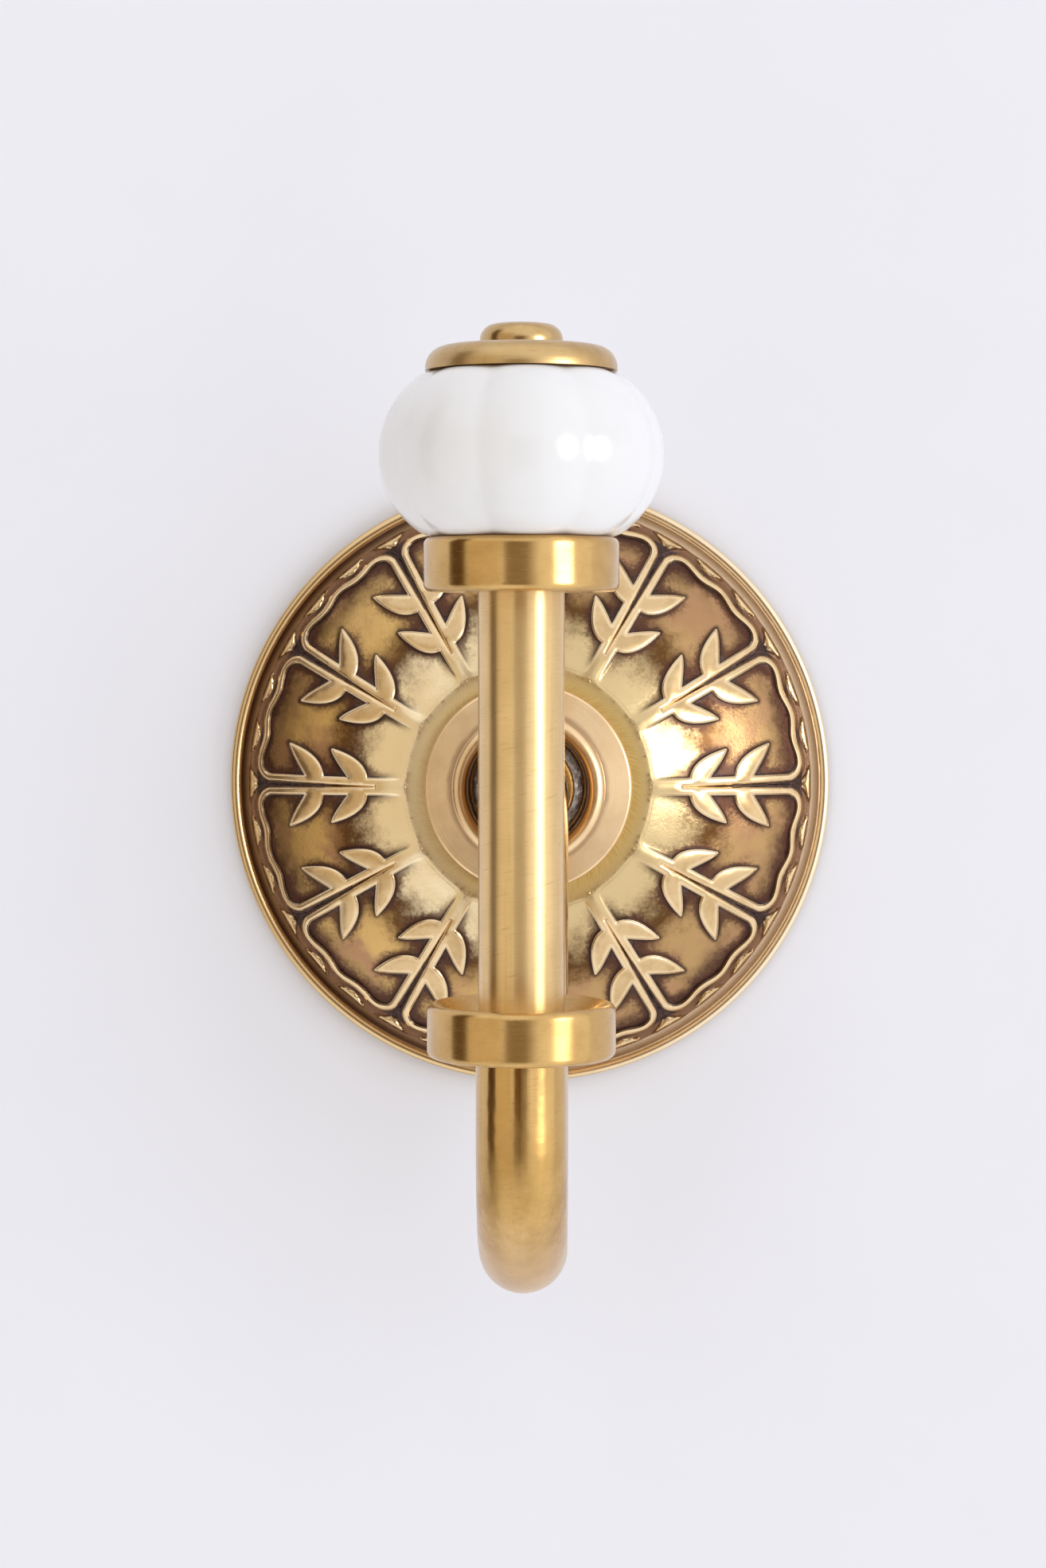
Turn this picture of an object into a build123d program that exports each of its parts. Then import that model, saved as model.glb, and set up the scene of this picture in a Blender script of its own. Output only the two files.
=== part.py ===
from build123d import *
from math import cos, radians, sin, sqrt
import os

# A wall hook for bath towels and robes, in antique brass: a domed rosette with leaf sprigs,
# a turned socket, a bent bar arm, and a post of collars and tube under a glazed melon knob.
# Millimetres and degrees. The origin is the middle of the rosette's back, on the wall;
# the hook stands out along -Y and +Z is up.

# Rosette: rim, border and dome
rosette_radius = 38.0
rim_side = 1.85
rim_bead_radius = 0.85
rim_cove = 0.35
border_floor = 1.5
border_width = 1.55
ground_edge_height = 2.6
ground_hub_height = 12.75
relief_at_rim = 0.65
relief_at_hub = 0.25
hub_radius = 15.0
dome_wall = 1.8
seat_wall = 2.0

# Rosette: the sunk panels between the sprigs, and the scalloped border
sprig_count = 12
scallops_per_panel = 3
stem_half_width = 0.9
stem_widening = 0.014
groove_half_width = 0.4
corner_round = 1.3
foot_round = 0.9
panel_foot_gap = 0.4
leaf_belly = 1.15
leaf_back = 0.35
ridge_width = 0.7
ridge_inset = 0.5
scallop_height = 0.45
moulding_width = 0.75
moulding_drop = 0.3
lozenge_half_angle = 3.2
lozenge_depth = 0.7
lozenge_gap = 0.25
lozenge_rise = 0.75

# Rosette: places along a sprig, from the panel's foot at 0 to the wave ridge at 1,
# and how far round from the stem the leaf tips reach, in degrees
groove_tip = 0.2
inner_leaf_base = 0.26
inner_leaf_junction = 0.385
inner_leaf_tip = 0.53
inner_leaf_spread = 10.5
outer_leaf_base = 0.573
outer_leaf_junction = 0.692
outer_leaf_tip = 0.835
outer_leaf_spread = 9.7

# Socket, and what clamps it from behind
flange_radius = 12.8
flange_edge = 1.1
flange_rise = 1.7
flange_edge_round = 0.4
lip_outer_radius = 9.5
lip_inner_radius = 7.3
lip_height = 4.0
cavity_floor_radius = 7.1
spigot_radius = 9.0
spigot_web = 1.2
tail_radius = 6.0
washer_radius = 13.0
washer_thickness = 1.5
nut_across_flats = 18.0
nut_thickness = 5.0
nut_corner_chamfer = 0.8
stud_hole_radius = 2.5
stud_hole_depth = 9.0

# Arm
bar_radius = 5.0
post_reach = 59.0
shoulder_bend_radius = 13.0
throat_bend_radius = 15.0
hook_drop = 56.0
root_radius = 5.8
root_length = 3.0
root_round = 0.5
solder_width = 1.2
solder_height = 2.4
solder_hollow = 0.6

# Post
lower_collar_level = -27.2
lower_collar_radius = 10.3
lower_collar_height = 5.9
cup_rim = 0.9
cup_slope_width = 2.6
cup_depth = 1.6
upper_collar_radius = 10.6
upper_collar_height = 5.9
collar_round = 0.8
bar_seat_depth = 1.5
tube_seat_depth = 1.5
tube_radius = 4.7
tube_wall = 1.0
tube_visible_length = 44.7

# Knob, cap and finial
knob_radius = 15.45
knob_end_radius = 10.2
knob_height = 17.9
knob_lobes = 8
knob_turn = 6.0
knob_bore_radius = 3.2
cap_radius = 10.4
cap_height = 2.65
cap_round = 2.3
finial_radius = 4.5
finial_height = 2.4
finial_round = 1.7
finial_wall = 0.8

# Rod that ties the post together, and fits
rod_radius = 2.5
rod_in_arm = 9.0
rod_hole_radius = 2.7
seat_clearance = 0.1
thread_clearance = 0.05

# Heights above the wall and places along the post that follow from the sizes above
border_radius = rosette_radius - 2 * rim_bead_radius - rim_cove
dome_edge_radius = border_radius - border_width
ridge_inner = dome_edge_radius - ridge_inset - scallop_height
ridge_outer = ridge_inner + ridge_width
panel_foot = hub_radius + panel_foot_gap
seat_height = ground_hub_height + relief_at_hub
back_face = seat_height - seat_wall
spigot_end = back_face + seat_clearance
socket_floor = spigot_end + spigot_web
lip_top = seat_height + lip_height
back_leg_reach = post_reach - 2 * throat_bend_radius
throat_level = bar_radius + throat_bend_radius - hook_drop
bar_end = lower_collar_level + bar_seat_depth
cup_floor = lower_collar_level + lower_collar_height - cup_depth
upper_collar_level = lower_collar_level + lower_collar_height + tube_visible_length
knob_level = upper_collar_level + upper_collar_height
cap_level = knob_level + knob_height
finial_level = cap_level + cap_height

on_wall = Rot(90, 0, 0)
on_post = Pos(0, -post_reach, 0)


# Shared shapes

def polar(radius, angle):
    """Point in the rosette's plan."""
    return (radius * cos(radians(angle)), radius * sin(radians(angle)))


def profile_line(*points):
    """Straight lines through (radius, height) points of a turned piece."""
    return Polyline(*[(radius, 0, height) for radius, height in points]).edges()


def profile_arc(start, middle, end):
    """Arc through three (radius, height) points of a turned piece."""
    return ThreePointArc(*[(radius, 0, height) for radius, height in (start, middle, end)])


def turned(*edges):
    """Solid turned about Z from a closed profile."""
    return revolve(make_face(edges), Axis.Z)


def turned_from(*points):
    """Solid turned about Z from a profile of straight lines."""
    return turned(*profile_line(*points, points[0]))


def outer_rims(solid):
    """Circles of the largest radius on a turned solid."""
    return solid.edges().filter_by(GeomType.CIRCLE).group_by(SortBy.RADIUS)[-1]


# Rosette

class Dome:
    """Sphere on the rosette's axis, through the rim end and the hub end of the dome."""

    def __init__(self, edge_height, hub_height):
        rim_square = dome_edge_radius ** 2 + edge_height ** 2
        hub_square = hub_radius ** 2 + hub_height ** 2
        self.centre = (rim_square - hub_square) / (2 * (edge_height - hub_height))
        self.radius = sqrt(hub_radius ** 2 + (hub_height - self.centre) ** 2)

    def height(self, radius, inset=0.0):
        return self.centre + sqrt((self.radius - inset) ** 2 - radius ** 2)

    def reach(self, height, inset=0.0):
        return sqrt((self.radius - inset) ** 2 - (height - self.centre) ** 2)

    def arc(self, first, last, inset=0.0):
        """Profile arc between two radii."""
        points = [(r, self.height(r, inset)) for r in (first, (first + last) / 2, last)]
        return profile_arc(*points)


ground = Dome(ground_edge_height, ground_hub_height)
raised = Dome(ground_edge_height + relief_at_rim, seat_height)


def rosette_shell():
    """Rim, border, ground dome and flat hub, hollow behind, with the socket's hole."""
    bead_inner = rosette_radius - 2 * rim_bead_radius
    bead_middle = rosette_radius - rim_bead_radius
    bead_top = rim_side + rim_bead_radius
    hole_radius = spigot_radius + seat_clearance
    back_land = ground.reach(0, dome_wall)
    back_flat = ground.reach(back_face, dome_wall)
    return turned(
        *profile_line((back_land, 0), (rosette_radius, 0), (rosette_radius, rim_side)),
        profile_arc((rosette_radius, rim_side), (bead_middle, bead_top), (bead_inner, rim_side)),
        *profile_line((bead_inner, rim_side), (border_radius, border_floor)),
        *profile_line((border_radius, border_floor), (dome_edge_radius, ground_edge_height)),
        ground.arc(dome_edge_radius, hub_radius),
        *profile_line((hub_radius, ground_hub_height), (hub_radius, seat_height)),
        *profile_line((hub_radius, seat_height), (hole_radius, seat_height)),
        *profile_line((hole_radius, seat_height), (hole_radius, back_face), (back_flat, back_face)),
        ground.arc(back_flat, back_land, dome_wall),
    )


def scalloped_plan(dip_radius, crest_height):
    """Plan of the rosette inside a ring of scallops, with crests between the lozenges."""
    pitch = 360 / (sprig_count * scallops_per_panel)
    arcs = []
    for turn in range(sprig_count * scallops_per_panel):
        start = polar(dip_radius, turn * pitch)
        crest = polar(dip_radius + crest_height, (turn + 0.5) * pitch)
        end = polar(dip_radius, (turn + 1) * pitch)
        arcs.append(ThreePointArc(start, crest, end))
    return make_face(arcs)


def relief_layer(plan, drop):
    """Layer of the raised dome over a plan, lowered by a drop and rooted in the dome's wall."""
    root = dome_wall / 2
    inner = hub_radius
    outer = border_radius
    ring = turned(
        raised.arc(inner, outer, drop),
        *profile_line((outer, raised.height(outer, drop)), (outer, ground.height(outer, root))),
        ground.arc(outer, inner, root),
        *profile_line((inner, ground.height(inner, root)), (inner, raised.height(inner, drop))),
    )
    return ring & extrude(plan, seat_height)


def along_sprig(share):
    """Distance from the middle of the rosette at a place along a sprig."""
    return panel_foot + share * (ridge_inner - panel_foot)


def stem_side(reach):
    """Point on the side of a stem that runs out along +X."""
    return (reach, stem_half_width + stem_widening * (reach - hub_radius))


def across_panel(point):
    """The same point seen in the middle line of the panel, beside the next stem."""
    turn = radians(360 / sprig_count)
    return (point[0] * cos(turn) + point[1] * sin(turn), point[0] * sin(turn) - point[1] * cos(turn))


def leaf(base, junction, tip, spread):
    """Outline of one leaf, from its base on the stem round the tip to its upper junction."""
    tip_point = polar(along_sprig(tip), spread)
    return [
        SagittaArc(stem_side(along_sprig(base)), tip_point, leaf_belly),
        SagittaArc(tip_point, stem_side(along_sprig(junction)), leaf_back),
    ]


def panel_plan():
    """Sunk panel between two sprigs, with four leaves reaching into it and a waved outer edge."""
    pitch = 360 / sprig_count
    scallop_pitch = pitch / scallops_per_panel
    foot = stem_side(panel_foot)
    corner = stem_side(ridge_inner)
    first_dip = polar(ridge_inner, scallop_pitch)
    side = [
        Line(foot, stem_side(along_sprig(inner_leaf_base))),
        *leaf(inner_leaf_base, inner_leaf_junction, inner_leaf_tip, inner_leaf_spread),
        Line(stem_side(along_sprig(inner_leaf_junction)), stem_side(along_sprig(outer_leaf_base))),
        *leaf(outer_leaf_base, outer_leaf_junction, outer_leaf_tip, outer_leaf_spread),
        Line(stem_side(along_sprig(outer_leaf_junction)), corner),
        ThreePointArc(corner, polar(ridge_inner + scallop_height, scallop_pitch / 2), first_dip),
    ]
    middle = Plane((0, 0, 0), x_dir=(*polar(1, pitch / 2), 0), z_dir=(*polar(1, pitch / 2 + 90), 0))
    far_side = [mirror(edge, about=middle) for edge in side]
    ends = [
        ThreePointArc(foot, polar(panel_foot, pitch / 2), across_panel(foot)),
        ThreePointArc(first_dip, polar(ridge_inner + scallop_height, pitch / 2), across_panel(first_dip)),
    ]
    plan = make_face(side + far_side + ends)
    for corner_point, size in ((foot, foot_round), (corner, corner_round)):
        for point in (corner_point, across_panel(corner_point)):
            plan = fillet(plan.vertices().sort_by_distance(point)[0], size)
    return plan


def groove_plan():
    """Groove between the twin stems of a sprig, opening outwards between two panel corners."""
    crest = ridge_outer + scallop_height
    bend = corner_round + ridge_width
    mouth = crest - bend
    start = (mouth, groove_half_width)
    end = (crest, groove_half_width + bend)
    outside = (crest + moulding_width, groove_half_width + bend)
    side = [
        Line((along_sprig(groove_tip), 0), start),
        CenterArc((mouth, groove_half_width + bend), bend, -90, 90),
        Line(end, outside),
    ]
    far_side = [mirror(edge, about=Plane.XZ) for edge in side]
    return make_face(side + far_side + [Line(outside, (outside[0], -outside[1]))])


def lozenge():
    """Flat three-sided lozenge in the border, pointing inwards."""
    outer = border_radius - lozenge_gap
    corners = [polar(outer, -lozenge_half_angle), polar(outer, lozenge_half_angle)]
    plan = make_face([
        ThreePointArc(corners[0], polar(outer, 0), corners[1]),
        Line(corners[1], polar(outer - lozenge_depth, 0)),
        Line(polar(outer - lozenge_depth, 0), corners[0]),
    ])
    slope = (ground_edge_height - border_floor) / border_width
    inner_top = border_floor + lozenge_rise + slope * (border_radius - dome_edge_radius)
    ring = turned_from(
        (dome_edge_radius, border_floor / 2),
        (border_radius, border_floor / 2),
        (border_radius, border_floor + lozenge_rise),
        (dome_edge_radius, inner_top),
    )
    return ring & extrude(plan, seat_height)


def make_rosette():
    """The whole cast plate, lying with its back at height 0."""
    below_ground = turned(
        *profile_line((0, 0), (border_radius, 0), (border_radius, border_floor)),
        *profile_line((border_radius, border_floor), (dome_edge_radius, ground_edge_height)),
        ground.arc(dome_edge_radius, 0),
        *profile_line((0, ground.height(0)), (0, 0)),
    )
    panel = extrude(panel_plan(), 2 * seat_height) - below_ground
    groove = extrude(groove_plan(), 2 * seat_height) - below_ground
    sprig_places = PolarLocations(0, sprig_count)
    ridge = relief_layer(scalloped_plan(ridge_outer, scallop_height), 0)
    moulding = relief_layer(scalloped_plan(ridge_outer + moulding_width, scallop_height), moulding_drop)
    lozenges = PolarLocations(0, sprig_count * scallops_per_panel) * lozenge()
    plate = rosette_shell() + ridge + moulding
    plate -= [place * panel for place in sprig_places]
    plate -= [place * groove for place in sprig_places]
    return plate + lozenges


# Socket and its clamp

def make_socket():
    """Turned cup with a flange and lip in front and a tapped, threaded tail behind."""
    top = seat_height + flange_rise
    lip_side = lip_top - (lip_outer_radius - lip_inner_radius) / 2
    lip_middle = (lip_outer_radius + lip_inner_radius) / 2
    cup = turned(
        *profile_line((0, stud_hole_depth), (stud_hole_radius, stud_hole_depth), (stud_hole_radius, 0)),
        *profile_line((stud_hole_radius, 0), (tail_radius, 0), (tail_radius, spigot_end)),
        *profile_line((tail_radius, spigot_end), (spigot_radius, spigot_end), (spigot_radius, seat_height)),
        *profile_line((spigot_radius, seat_height), (flange_radius, seat_height)),
        *profile_line((flange_radius, seat_height), (flange_radius, seat_height + flange_edge)),
        *profile_line((flange_radius, seat_height + flange_edge), (lip_outer_radius, top)),
        *profile_line((lip_outer_radius, top), (lip_outer_radius, lip_side)),
        profile_arc((lip_outer_radius, lip_side), (lip_middle, lip_top), (lip_inner_radius, lip_side)),
        *profile_line((lip_inner_radius, lip_side), (cavity_floor_radius, socket_floor), (0, socket_floor)),
        *profile_line((0, socket_floor), (0, stud_hole_depth)),
    )
    front_rim = outer_rims(cup).sort_by(Axis.Z)[-1]
    return fillet(front_rim, flange_edge_round)


def make_washer():
    """Flat washer across the socket's hole, against the rosette's inner face."""
    hole = tail_radius + seat_clearance
    base = back_face - washer_thickness
    return turned_from((hole, base), (washer_radius, base), (washer_radius, back_face), (hole, back_face))


def make_nut():
    """Hexagon nut on the tail, with its corners turned off."""
    top = back_face - washer_thickness
    base = top - nut_thickness
    corner_radius = nut_across_flats / sqrt(3)
    blank = Pos(0, 0, base) * extrude(RegularPolygon(corner_radius, 6), nut_thickness)
    hole = tail_radius + thread_clearance
    chamfered = turned_from(
        (hole, base),
        (corner_radius - nut_corner_chamfer, base),
        (corner_radius, base + nut_corner_chamfer / 2),
        (corner_radius, top - nut_corner_chamfer / 2),
        (corner_radius - nut_corner_chamfer, top),
        (hole, top),
    )
    return blank & chamfered


# Arm

def make_arm():
    """Bar bent out of the socket, down, and up to the lower collar, tapped for the rod."""
    bend_start = (0, shoulder_bend_radius - back_leg_reach, 0)
    back_top = (0, -back_leg_reach, -shoulder_bend_radius)
    back_low = (0, -back_leg_reach, throat_level)
    front_low = (0, -post_reach, throat_level)
    slant = sqrt(0.5)
    shoulder_middle = (
        0,
        bend_start[1] - shoulder_bend_radius * slant,
        -shoulder_bend_radius * (1 - slant),
    )
    throat_middle = (0, throat_bend_radius - post_reach, throat_level - throat_bend_radius)
    root = (0, -socket_floor, 0)
    path = Wire([
        Line(root, bend_start),
        ThreePointArc(bend_start, shoulder_middle, back_top),
        Line(back_top, back_low),
        ThreePointArc(back_low, throat_middle, front_low),
        Line(front_low, (0, -post_reach, bar_end)),
    ])
    bar = sweep(Plane(root, z_dir=(0, -1, 0)) * Circle(bar_radius), path)
    upset = Pos(0, 0, socket_floor + root_length / 2) * Cylinder(root_radius, root_length)
    upset = fillet(outer_rims(upset).sort_by(Axis.Z)[-1], root_round)
    rod_hole = Pos(0, -post_reach, bar_end - rod_in_arm / 2)
    rod_hole *= Cylinder(rod_radius + thread_clearance, rod_in_arm)
    return bar + on_wall * upset - rod_hole


def make_solder():
    """Ring of solder in the corner between the arm's root and the socket's floor."""
    inner = root_radius
    outer = root_radius + solder_width
    top = socket_floor + solder_height
    hollow = (inner + solder_hollow, socket_floor + solder_hollow)
    return turned(
        *profile_line((inner, top), (inner, socket_floor), (outer, socket_floor)),
        profile_arc((outer, socket_floor), hollow, (inner, top)),
    )


# Post

def make_lower_collar():
    """Disc on the arm's tip, dished on top around the tube."""
    low = lower_collar_level
    high = low + lower_collar_height
    cup_radius = lower_collar_radius - cup_rim
    bar_hole = bar_radius + seat_clearance
    collar = turned_from(
        (bar_hole, low),
        (lower_collar_radius, low),
        (lower_collar_radius, high),
        (cup_radius, high),
        (cup_radius - cup_slope_width, cup_floor),
        (rod_hole_radius, cup_floor),
        (rod_hole_radius, bar_end),
        (bar_hole, bar_end),
    )
    return fillet(outer_rims(collar), collar_round)


def make_tube():
    """Tube from the lower collar's cup into the upper collar."""
    inner = tube_radius - tube_wall
    top = upper_collar_level + tube_seat_depth
    return turned_from((inner, cup_floor), (tube_radius, cup_floor), (tube_radius, top), (inner, top))


def make_upper_collar():
    """Disc under the knob, counterbored for the tube."""
    low = upper_collar_level
    seat = low + tube_seat_depth
    tube_hole = tube_radius + seat_clearance
    collar = turned_from(
        (tube_hole, low),
        (upper_collar_radius, low),
        (upper_collar_radius, knob_level),
        (rod_hole_radius, knob_level),
        (rod_hole_radius, seat),
        (tube_hole, seat),
    )
    return fillet(outer_rims(collar), collar_round)


def make_knob():
    """Melon knob of equal lobes, each a ball set off the axis, cut to its share of the turn."""
    lobe_angle = 360 / knob_lobes
    half_height = knob_height / 2
    end_square = knob_end_radius ** 2 + half_height ** 2
    lobe_offset = (knob_radius ** 2 - end_square) / (2 * (knob_radius - knob_end_radius))
    ball = Rot(0, 0, 180) * Sphere(knob_radius - lobe_offset)
    far = 2 * knob_radius
    sides = [polar(far, -lobe_angle / 2), polar(far, lobe_angle / 2)]
    share = make_face(Polyline((0, 0), *sides, close=True))
    wedge = Pos(0, 0, -half_height) * extrude(share, knob_height)
    core = Cylinder(lobe_offset, knob_height)
    lobe = (Pos(lobe_offset, 0, 0) * ball + core) & wedge
    front = knob_turn - 90
    melon = Part() + [Rot(0, 0, front + turn * lobe_angle) * lobe for turn in range(knob_lobes)]
    bored = melon - Cylinder(knob_bore_radius, knob_height)
    return Pos(0, 0, knob_level + half_height) * bored


def make_cap():
    """Disc on the knob with a round shoulder."""
    disc = turned_from(
        (rod_hole_radius, cap_level),
        (cap_radius, cap_level),
        (cap_radius, finial_level),
        (rod_hole_radius, finial_level),
    )
    return fillet(outer_rims(disc).sort_by(Axis.Z)[-1], cap_round)


def make_finial():
    """Button nut that closes the post, tapped from below."""
    top = finial_level + finial_height
    hole_top = top - finial_wall
    hole = rod_radius + thread_clearance
    button = turned_from(
        (hole, finial_level),
        (finial_radius, finial_level),
        (finial_radius, top),
        (0, top),
        (0, hole_top),
        (hole, hole_top),
    )
    return fillet(outer_rims(button).sort_by(Axis.Z)[-1], finial_round)


def make_rod():
    """Rod from the arm's tapped tip to the finial."""
    low = bar_end - rod_in_arm
    high = finial_level + finial_height - finial_wall
    return Pos(0, 0, (low + high) / 2) * Cylinder(rod_radius, high - low)


pieces = {
    "rosette": on_wall * make_rosette(),
    "arm_socket": on_wall * make_socket(),
    "backing_washer": on_wall * make_washer(),
    "retaining_nut": on_wall * make_nut(),
    "hook_arm": make_arm(),
    "solder_fillet": on_wall * make_solder(),
    "lower_collar": on_post * make_lower_collar(),
    "post_tube": on_post * make_tube(),
    "upper_collar": on_post * make_upper_collar(),
    "ceramic_knob": on_post * make_knob(),
    "top_cap": on_post * make_cap(),
    "finial_nut": on_post * make_finial(),
    "tie_rod": on_post * make_rod(),
}

os.makedirs("parts", exist_ok=True)
for name, piece in pieces.items():
    export_step(piece, f"parts/{name}.step")
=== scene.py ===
import bmesh
import bpy
import math
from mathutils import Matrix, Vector, noise
from mathutils.geometry import delaunay_2d_cdt
import numpy as np


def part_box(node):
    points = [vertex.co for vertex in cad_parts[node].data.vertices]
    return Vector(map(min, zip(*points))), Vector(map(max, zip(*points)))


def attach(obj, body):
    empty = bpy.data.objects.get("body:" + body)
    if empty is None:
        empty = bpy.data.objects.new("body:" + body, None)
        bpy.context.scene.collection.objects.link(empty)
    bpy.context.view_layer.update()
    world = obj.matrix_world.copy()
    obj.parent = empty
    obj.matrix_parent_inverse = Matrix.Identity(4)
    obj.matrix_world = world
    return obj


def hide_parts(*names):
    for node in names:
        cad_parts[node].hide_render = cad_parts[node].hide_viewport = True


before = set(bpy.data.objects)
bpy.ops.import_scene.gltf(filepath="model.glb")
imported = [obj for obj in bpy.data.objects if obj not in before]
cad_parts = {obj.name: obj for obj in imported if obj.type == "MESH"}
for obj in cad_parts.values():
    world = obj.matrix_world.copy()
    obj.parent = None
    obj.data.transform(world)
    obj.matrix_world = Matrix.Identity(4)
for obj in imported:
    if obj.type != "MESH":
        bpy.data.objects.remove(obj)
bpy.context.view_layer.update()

# Rosette: the domed wall plate, cast in brass with twelve leaf sprigs, a waved ridge and a
# lozenge border. Dark patina is left in its hollows and the relief is rubbed bright by hand,
# with painted shade, painted highlight and painted reflection laid over them in places.
# It lies flat on the wall and is held there by the socket and its nut.
mm = 0.001
rosette_low, rosette_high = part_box("rosette")
rosette_radius = rosette_high.x / mm
seat_height = -rosette_low.y / mm
bead_radius = 0.7
cove_width = 1.1
cove_floor = 1.0
cove_sag = 0.06
side_height = 1.85
border_floor = 2.3
border_width = 1.1
border_radius = rosette_radius - 2 * bead_radius - cove_width
dome_edge_radius = border_radius - border_width
dome_edge_height = 2.6
hub_radius = 15.0
hub_drop = 0.25
hub_fade = 2.6
stem_rise = 0.16
hub_round = 0.08
hub_round_width = 1.2
stem_climb = 4.0
stem_settles = (19.0, 24.0)
relief_at_rim = 0.65
plate_wall = 1.8
hub_wall = 2.0
bore_radius = 9.1
sprigs = 12
half_pitch = 180 / sprigs
ring_segments = 360

stem_half_width = 0.9
stem_widening = 0.014
groove_tip = 19.0
groove_half_width = 0.52
panel_foot = 15.4
foot_corner_reach = 0.9
foot_clearance = 0.6
inner_leaf = {"base": 20.1, "tip": 24.97, "spread": 10.5}
outer_leaf = {"base": 25.75, "tip": 30.45, "spread": 9.7}
leaf_belly = ((0.03, 0.50), (0.43, 0.80))
leaf_back = ((0.96, 0.75), (0.67, 0.30))
leaf_junction = 0.51
corner_reach = 1.5
corner_fullness = 0.55
ridge_radius = 33.68
ridge_wave = 0.22
ridge_width = 0.62
scallop_pitch = 10.0
lozenge_half_angle = 3.2
lozenge_outer = border_radius - 0.12
lozenge_depth = 0.7
lozenge_rise = 0.42
lozenge_foot = 0.22
lozenge_crown = 0.06
wall_foot = 0.26
wall_crown = 0.12
groove_foot = 0.8 * wall_foot
leaf_crown = 0.15
leaf_roll = 1.1
groove_depth = 0.42
ripple_pitch = 0.36
ripple_height = 0.08
ripple_start = 0.3
moulding_drop = 0.26
moulding_slope = 0.2
moulding_reach = 1.6
relief_reach = 1.2
edge_band = 0.6
edge_rise = 0.1
casting_unevenness = 0.03
unevenness_pitch = 2.2
unevenness_slice = 0.5
hub_calm = 2.0
border_calm = 1.5
border_openness = 0.3
shelter_reaches = (0.6, 1.2, 1.9)
shelter_rays = 12

cove_overlap = 0.1
cove_steps = 4
bead_wrap = 210
bead_step = 15
rim_chamfer = 0.15
back_rim = 35.0
back_middle = 10.0
back_rows = 26
back_lip = 0.05
bore_chamfer = 0.1
plain_margin = 0.1

contour_spacing = 0.21
curve_excess = 1.15
contour_margin = 0.07
contour_slack = 0.012
contour_gap = 0.085
fan_degrees = 30
panel_levels = (0.0, -0.1, 0.08, -0.2, 0.18, -0.32, 0.34, -0.5)
groove_levels = (0.0, 0.12, -0.1, -0.22, -0.34, -0.46, -0.58, -0.7, -0.84)
lozenge_levels = (0.0, 0.08, -0.12, -0.25)
fill_spacing = 0.47
fill_margin = 0.15
fill_gap = 0.36
ray_spacing = 0.1
tolerance = 1e-6
weld_distance = 1e-7


def dome(edge_height, hub_height):
    """Height of a sphere on the rosette's axis, by radius, through the dome's rim and its hub."""
    rim_square = dome_edge_radius ** 2 + edge_height ** 2
    hub_square = hub_radius ** 2 + hub_height ** 2
    centre = (rim_square - hub_square) / (2 * (edge_height - hub_height))
    square = hub_radius ** 2 + (hub_height - centre) ** 2
    return lambda radius, inset=0.0: centre + np.sqrt((math.sqrt(square) - inset) ** 2 - radius ** 2)


def on_plan(radius, degrees):
    """Point of the rosette's plan."""
    return np.array((radius * math.cos(math.radians(degrees)), radius * math.sin(math.radians(degrees))))


def stem_side(reach):
    """Point on the side of the stem that runs out along the plan's first axis."""
    return np.array((reach, stem_half_width + stem_widening * (reach - hub_radius)))


def curve(start, first, second, end):
    """Points of a cubic curve, about one contour spacing apart."""
    count = max(4, round(np.linalg.norm(end - start) * curve_excess / contour_spacing))
    t = np.linspace(0, 1, count + 1)[:, None]
    points = (1 - t) ** 3 * start + 3 * t * (1 - t) ** 2 * first
    return points + 3 * t * t * (1 - t) * second + t ** 3 * end


def straight(start, end):
    """Points of a straight line, about one contour spacing apart."""
    return curve(start, (2 * start + end) / 3, (start + 2 * end) / 3, end)


def rounded_corner(start, corner, end):
    """Points of a round corner between two lines that would meet at the corner."""
    first = start + corner_fullness * (corner - start)
    second = end + corner_fullness * (corner - end)
    return curve(start, first, second, end)


def wave(offset, first_angle, last_angle):
    """Points of the waved ridge, offset from its inner edge, between two angles."""
    count = round(math.radians(last_angle - first_angle) * ridge_radius / contour_spacing)
    crest_angle = scallop_pitch / 2
    points = []
    for degrees in np.linspace(first_angle, last_angle, count + 1):
        swing = math.cos(2 * math.pi * (degrees - crest_angle) / scallop_pitch)
        points.append(on_plan(ridge_radius + offset + ridge_wave * swing, degrees))
    return np.array(points)


def leaf_outline(base, tip, spread):
    """Points of a leaf: from its base on the stem, round the belly to the tip, and back."""
    start = stem_side(base)
    end = on_plan(tip, spread)
    reach = end - start
    belly = [start + reach * np.array(share) for share in leaf_belly]
    back = [start + reach * np.array(share) for share in leaf_back]
    return [curve(start, *belly, end), curve(end, *back, stem_side(base + leaf_junction * reach[0]))]


def ridge_corner(side_point, offset):
    """Round corner from a line beside the stem into the first crest of the ridge."""
    crest = on_plan(ridge_radius + offset + ridge_wave, scallop_pitch / 2)
    tangent = on_plan(1, scallop_pitch / 2 - 90)
    corner = crest + tangent * (crest[1] - side_point[1]) / -tangent[1]
    start = np.array((corner[0] - corner_reach - offset, side_point[1]))
    return start, rounded_corner(start, corner, crest)


def join(parts):
    """One line of points from parts that follow each other."""
    return np.vstack([parts[0]] + [part[1:] for part in parts[1:]])


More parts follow.
